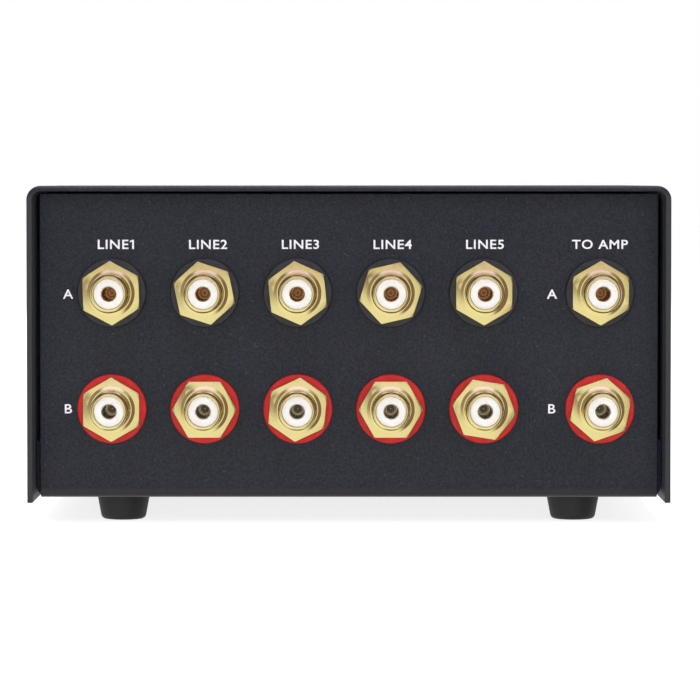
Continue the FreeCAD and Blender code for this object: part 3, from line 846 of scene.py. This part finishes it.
def sleeve_metal(name, painted_deep_shade, floor, rim, mouth):
    """Tarnished plating, with painted shade inside the rivet, a painted highlight on its rolled edge, and
    painted shade deeper in the hole, a little lighter towards the mouth.
    """
    material, place = start_material(name)
    depth = place.axis("Y") - (rear_face + pin_hole_floor)
    tarnish_and_painted_shade = place.noise(0.45 * mm, 3.0, 0.6)
    streaks = place.moved(scale=(1.0, 0.15, 1.0)).noise(0.20 * mm, 2.0)
    # Painted shade inside the rivet, then a painted highlight on its rolled rim.
    raised = depth.between(0.08 * mm, 0.16 * mm).blend(painted_deep_shade, floor)
    rolled = depth.between(0.30 * mm, 0.46 * mm).blend(raised, rim)
    wall_tone = depth.between(0.52 * mm, 0.60 * mm).blend(rolled, floor)
    # Painted shade: a little darker deeper in the hole, mottled by tarnish.
    towards_mouth = depth.between(5.0 * mm, 12.0 * mm) * 0.7 + tarnish_and_painted_shade * 0.3
    finish_material(place, {
        "Base Color": towards_mouth.blend(wall_tone, mouth),
        "Metallic": 1.0,
        "Roughness": tarnish_and_painted_shade * 0.10 + streaks * 0.10 + 0.16,
        "Normal": (tarnish_and_painted_shade * 0.5 + streaks * 0.5).bump(0.008 * mm, 0.6),
    })
    return material


def block(size, middle=(0, 0, 0)):
    """Block of a size round its middle."""
    shape = bmesh.new()
    place = Matrix.Translation(middle) @ Matrix.Diagonal((*size, 1.0))
    bmesh.ops.create_cube(shape, size=1.0, matrix=place)
    return shape


# The darkest colour is painted shade inside the rivet, and the rim colour a painted highlight.
brown_gold = sleeve_metal(
    "brown_gold", painted_deep_shade=(0.30, 0.16, 0.07), floor=(0.52, 0.29, 0.13),
    rim=(0.70, 0.44, 0.21), mouth=(0.56, 0.32, 0.14),
)
dull_tin = sleeve_metal(
    "dull_tin", painted_deep_shade=(0.04, 0.035, 0.022), floor=(0.52, 0.44, 0.30),
    rim=(0.95, 0.92, 0.80), mouth=(0.52, 0.45, 0.32),
)
sleeve_bore = sleeve_radius - sleeve_wall
contact = turned([
    (0, pin_hole_floor, 0),
    (sleeve_radius, pin_hole_floor, 0),
    (sleeve_radius, sleeve_front, 0),
    (sleeve_bore, sleeve_front, 0.06 * mm),
    (sleeve_bore, sleeve_floor, 0.1 * mm),
    (rivet_radius, sleeve_floor, 0.04 * mm),
    (rivet_radius, pin_hole_floor + rivet_height, rivet_edge),
    (rivet_bore, pin_hole_floor + rivet_height, rivet_edge),
    (rivet_bore, pin_hole_floor + rivet_floor, 0.05 * mm),
    (rivet_pin, pin_hole_floor + rivet_floor, 0.02 * mm),
    (rivet_pin, pin_hole_floor + rivet_pin_height, 0.12 * mm),
    (0, pin_hole_floor + rivet_pin_height, 0),
], steps=48, closed=False)
slit = block((4 * sleeve_radius, insulator_face - slit_floor, slit_width),
             (0, (slit_floor + insulator_face) / 2, 0))
contact = as_mesh(carved(contact, slit, "DIFFERENCE"), "contact")
tag = block((tag_width, pin_hole_floor - tag_end, tag_thickness), (0, (tag_end + pin_hole_floor) / 2, 0))
tag = as_mesh(tag, "tag")
for row, material, nodes in (("left", brown_gold, []), ("right", dull_tin, ["socket_contacts"])):
    shape = bmesh.new()
    for middle, turn in zip(row_places(row), hexagon_turns[row]):
        spot = Matrix.Translation(middle) @ Matrix.Rotation(math.radians(20 - 3 * turn), 4, "Y")
        add_copy(shape, contact, spot)
        add_copy(shape, tag, Matrix.Translation(middle))
    add_piece(row + "_channel_contacts", shape, material, replaced=nodes)


# Circuit boards: green lacquered boards behind the sockets and the switch, with copper tracks on them.
# Black moulded headers and plugs join them through a grey ribbon cable with one marked wire.
board_green = (0.012, 0.095, 0.040)
track_green = (0.030, 0.200, 0.075)
wire_pitch = 1.27 * mm
ribbon_dark = (0.22, 0.23, 0.24)
ribbon_light = (0.42, 0.43, 0.45)
marked_wire = (0.45, 0.03, 0.03)

lacquer, place = start_material("circuit_board")
upright = place.moved(rotation=(math.pi / 2, 0, 0))
sockets = {"Vector": upright, "Scale": 260.0, "Mortar Size": 0.06}
tracks = upright.then("ShaderNodeTexBrick", {"offset": 0.5}, sockets, "Fac")
fleck = place.noise(0.5 * mm, 3.0)
finish_material(place, {
    "Base Color": (tracks * 0.8 + fleck * 0.2).blend(board_green, track_green),
    "Roughness": fleck * 0.15 + 0.25,
    "Normal": tracks.bump(0.03 * mm, 0.4),
})
dress(lacquer, "jack_board", "switch_board")
dress(plastic("connector_plastic", (0.012, 0.012, 0.013), (0.022, 0.022, 0.024), 0.40),
      "jack_board_header", "switch_board_header", "rear_ribbon_plug", "front_ribbon_plug")

ribbon, place = start_material("ribbon_pvc")
across = place.axis("X")
wires = across.math("COSINE", across * (2 * math.pi / wire_pitch), 0.0) * 0.5 + 0.5
marked = across.between(6.2 * mm, 6.5 * mm)
dust = place.noise(1.5 * mm, 3.0)
grey = (wires * 0.7 + dust * 0.3).blend(ribbon_dark, ribbon_light)
finish_material(place, {
    "Base Color": marked.blend(grey, marked_wire),
    "Roughness": dust * 0.15 + 0.42,
    "Normal": wires.bump(0.25 * mm, 0.8),
})
dress(ribbon, "ribbon_cable")


# Rotary switch: a die-cast plate and bushing, a moulded housing, the wafer with its tinned contacts and
# tracks, and the spring leaf that drops into the star wheel. A nickel-plated nut clamps it to the front wall.
die_cast, place = start_material("die_cast")
casting = place.noise(0.35 * mm, 3.0, 0.6)
finish_material(place, {
    "Base Color": casting.blend((0.38, 0.38, 0.39), (0.55, 0.55, 0.56)),
    "Metallic": 0.9,
    "Roughness": casting * 0.2 + 0.38,
    "Normal": casting.bump(0.02 * mm, 0.6),
})
dress(die_cast, "switch_bushing")
dress(plastic("switch_plastic", (0.035, 0.025, 0.018), (0.055, 0.040, 0.028), 0.45),
      "switch_housing", "switch_wafer", "wiper_carrier")
tin = plated("tin_plate", (0.66, 0.65, 0.62), (0.48, 0.47, 0.44), 0.28)
dress(tin, "input_contacts", "common_tracks", "wipers")
spring_steel = plated("spring_steel", (0.50, 0.50, 0.51), (0.36, 0.34, 0.32), 0.26)
dress(spring_steel, "detent_leaf", "detent_star")
nickel = plated("nickel_plate", (0.68, 0.67, 0.65), (0.52, 0.50, 0.47), 0.16)
dress(nickel, "selector_shaft")

switch_nut_across = 12.0 * mm
switch_nut_bore = 4.55 * mm
nut_low, nut_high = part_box("switch_nut")
shape = hexagon(switch_nut_across, nut_low.y, nut_high.y, 0.25 * mm, switch_nut_bore)
bmesh.ops.translate(shape, verts=shape.verts, vec=(0, 0, knob_height))
add_piece("plated_switch_nut", shape, nickel, replaced=["switch_nut"])


# Knob: turned from aluminium bar, with a fine straight grip round the side and eased edges.
# A black enamel line is let into its face, and a small grub screw holds it on the flat of the shaft.
knob_radius = 15.0 * mm
knob_front = knob_low.y
knob_back = knob_high.y
recess_radius = 8.6 * mm
recess_floor = front_face - 6.55 * mm
bore_radius = 3.02 * mm
bore_end = knob_front + 3.0 * mm
grip_count = 72
grip_depth = 0.35 * mm
grip_start = knob_front + 2.6 * mm
grip_end = knob_back - 2.0 * mm
grip_runout = 0.4 * mm
grip_steps = 4
pointer_width = 1.4 * mm
pointer_depth = 0.6 * mm
pointer_start = 5.0 * mm
pointer_end = 14.0 * mm

satin, place = start_material("satin_aluminium")
centred = place.moved(location=(0, 0, -knob_height))
flat = centred.then("ShaderNodeVectorMath", {"operation": "MULTIPLY"}, {0: centred, 1: (1, 0, 1)})
radius = flat.then("ShaderNodeVectorMath", {"operation": "LENGTH"}, {0: flat}, "Value")
sockets = {"W": radius, "Scale": 6000.0, "Detail": 2.0}
rings = radius.then("ShaderNodeTexNoise", {"noise_dimensions": "1D"}, sockets)
smears = place.noise(6 * mm, 3.0)
finish_material(place, {
    "Base Color": (rings * 0.8 + smears * 0.2).blend((0.40, 0.40, 0.42), (0.70, 0.70, 0.72)),
    "Metallic": 1.0,
    "Roughness": rings * 0.20 + smears * 0.06 + 0.22,
    "Normal": rings.bump(0.010 * mm, 0.7),
})
shape = turned([
    (0, bore_end, 0),
    (bore_radius, bore_end, 0),
    (bore_radius, recess_floor, 0),
    (recess_radius, recess_floor, 0),
    (recess_radius, knob_back, 0.2 * mm),
    (knob_radius, knob_back, 0.5 * mm),
    (knob_radius, grip_end, 0),
    (knob_radius, grip_end - grip_runout, 0),
    (knob_radius, grip_start + grip_runout, 0),
    (knob_radius, grip_start, 0),
    (knob_radius, knob_front, 1.0 * mm),
    (0, knob_front, 0),
], steps=grip_count * grip_steps, closed=False)
for vert in shape.verts:
    spoke = math.hypot(vert.co.x, vert.co.z)
    inside_grip = grip_start < vert.co.y < grip_end
    if inside_grip and spoke > knob_radius - 0.01 * mm:
        step = round(math.atan2(vert.co.z, vert.co.x) / (2 * math.pi) * grip_count * grip_steps)
        if step % grip_steps in (0, 1):
            shrink = (knob_radius - grip_depth) / knob_radius
            vert.co.x *= shrink
            vert.co.z *= shrink
groove = block((pointer_width, 2 * pointer_depth, pointer_end - pointer_start),
               (0, knob_front, (pointer_start + pointer_end) / 2))
shape = carved(shape, groove, "DIFFERENCE")
bmesh.ops.translate(shape, verts=shape.verts, vec=(0, 0, knob_height))
add_piece("turned_knob", shape, satin, body=selector, replaced=["knob"])
dress(plastic("pointer_enamel", (0.008, 0.008, 0.008), (0.014, 0.014, 0.014), 0.18), "pointer_inlay")


# Top cover: one steel sheet bent into a channel over the tray, open at both ends, which it overhangs.
# It has the tray's powder coat, which rounds its cut edges, and a countersunk hole in each side.
cover_low, cover_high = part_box("top_cover")
cover_corner = 3.0 * mm
outer_edge = 0.16 * mm
top_edge = 0.50 * mm
rim_coat = (0.029, 0.034, 0.034)
# Painted light on the cover's inside faces.
painted_inside_light = (0.070, 0.085, 0.110)
# Painted highlight along the crest of the cover's top at each open end.
painted_crest_highlight = (0.069, 0.062, 0.068)
sink_radius = 2.9 * mm
throat_radius = 1.6 * mm
screw_low, screw_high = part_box("cover_screws")
screw_y = (screw_low.y + screw_high.y) / 2
screw_z = (screw_low.z + screw_high.z) / 2


def outer_distance(place):
    """How far a place is inside the outer face of the bent cover."""
    across = max(abs(place.x) - (cover_high.x - cover_corner), 0.0)
    up = max(place.z - (cover_high.z - cover_corner), 0.0)
    return cover_corner - (math.hypot(across, up) if across or up else 0.0)


def screw_place(side):
    """Where the screw of a side goes in, with +Y turned inwards."""
    inward = Matrix.Rotation(side * math.pi / 2, 4, "Z")
    return Matrix.Translation((side * cover_high.x, screw_y, screw_z)) @ inward


def eased(shape, width):
    """A mesh with its weighted edges rounded, each by its weight's share of a width."""
    thing = add_object("eased", as_mesh(shape, "eased"))
    easing = thing.modifiers.new("easing", "BEVEL")
    easing.limit_method = "WEIGHT"
    easing.width = width
    easing.segments = 4
    return finished_shape(thing)


cover_middle = (cover_low + cover_high) / 2
shape = block(cover_high - cover_low, cover_middle)
open_sides = [face for face in shape.faces if face.normal.z < -0.5 or abs(face.normal.y) > 0.5]
bmesh.ops.delete(shape, geom=open_sides, context="FACES")
bends = [edge for edge in shape.edges if len(edge.link_faces) == 2]
round_edges(shape, bends, cover_corner, 12)
bmesh.ops.recalc_face_normals(shape, faces=shape.faces)
if shape.faces[0].normal.dot(shape.faces[0].calc_center_median() - cover_middle) < 0:
    bmesh.ops.reverse_faces(shape, faces=shape.faces)
bmesh.ops.solidify(shape, geom=list(shape.faces), thickness=sheet)
rounding = shape.edges.layers.float.new("bevel_weight_edge")
for edge in shape.edges:
    if len(edge.link_faces) == 2 and edge.calc_face_angle() > sharp_angle:
        rise = min((vert.co.z - cover_high.z) / cover_corner + 1 for vert in edge.verts)
        outside = all(outer_distance(vert.co) < 0.1 * mm for vert in edge.verts)
        share = max(rise, 0.0) if outside else 0.0
        edge[rounding] = (outer_edge + share * (top_edge - outer_edge)) / top_edge
shape = eased(shape, top_edge)
for side in (-1, 1):
    sink = turned([
        (0, -overrun, 0),
        (sink_radius + overrun, -overrun, 0),
        (sink_radius, 0, 0),
        (throat_radius, sheet, 0),
        (throat_radius, 3 * sheet, 0),
        (0, 3 * sheet, 0),
    ], closed=False)
    bmesh.ops.transform(sink, verts=sink.verts, matrix=screw_place(side))
    shape = carved(shape, sink, "DIFFERENCE")


def cover_thin_spots(place):
    """Paler tones on the cover: on its cut end faces, a painted highlight along the crest above them, and
    painted light on its inside faces past the overhangs."""
    split = place.axis("Y")
    up = split.part("Z")
    along = abs(split - cover_middle.y)
    across = abs(split.part("X"))
    half_length = (cover_high.y - cover_low.y) / 2
    inner_side = cover_high.x - sheet
    inner_top = cover_high.z - sheet
    on_end = along.between(half_length - 0.12 * mm, half_length - 0.02 * mm)
    edge = on_end * (1 - up.between(cover_high.z - cover_corner, inner_top))
    within_sides = 1 - across.between(inner_side + 0.1 * mm, inner_side + 0.4 * mm)
    under_top = 1 - up.between(inner_top + 0.1 * mm, inner_top + 0.4 * mm)
    past_overhang = 1 - along.between(half_length - 5.2 * mm, half_length - 4.4 * mm)
    # Painted light: the inside faces past the overhangs.
    inside = within_sides * under_top * past_overhang
    near_end = along.between(half_length - 0.65 * mm, half_length - 0.35 * mm)
    # Painted highlight: the crest of the top near each open end.
    crest = up.between(cover_high.z - 0.75 * mm, cover_high.z - 0.05 * mm) * near_end
    return (edge, rim_coat), (inside, painted_inside_light), (crest, painted_crest_highlight)


cover_coat = powder_coat("cover_powder_coat", cover_thin_spots)
add_piece("folded_cover", shape, cover_coat, replaced=["top_cover"])


# Cover screws: a black countersunk screw in each side, with a cross recess, screwed into the tray's lips.
# They are steel with an oxide finish and sit flush.
screw_head = 2.8 * mm
screw_sunk = 0.03 * mm
screw_shank = 1.5 * mm
screw_length = 6.0 * mm
recess_width = 0.75 * mm
recess_span = 3.0 * mm
recess_depth = 0.9 * mm

black_oxide, place = start_material("black_oxide")
oxide = place.noise(0.3 * mm, 3.0)
finish_material(place, {
    "Base Color": oxide.blend((0.012, 0.012, 0.013), (0.040, 0.040, 0.042)),
    "Metallic": 0.8,
    "Roughness": oxide * 0.2 + 0.34,
    "Normal": oxide.bump(0.01 * mm, 0.4),
})
dress(black_oxide, "grub_screw")
screw = turned([
    (0, screw_sunk, 0),
    (screw_head, screw_sunk, 0.1 * mm),
    (screw_shank, sheet, 0),
    (screw_shank, screw_length, 0.2 * mm),
    (0, screw_length, 0),
], closed=False)
for width, span in ((recess_width, recess_span), (recess_span, recess_width)):
    screw = carved(screw, block((width, 2 * recess_depth, span)), "DIFFERENCE")
screw = as_mesh(screw, "screw")
shape = bmesh.new()
for side in (-1, 1):
    add_copy(shape, screw, screw_place(side))
add_piece("recessed_cover_screws", shape, black_oxide, replaced=["cover_screws"])
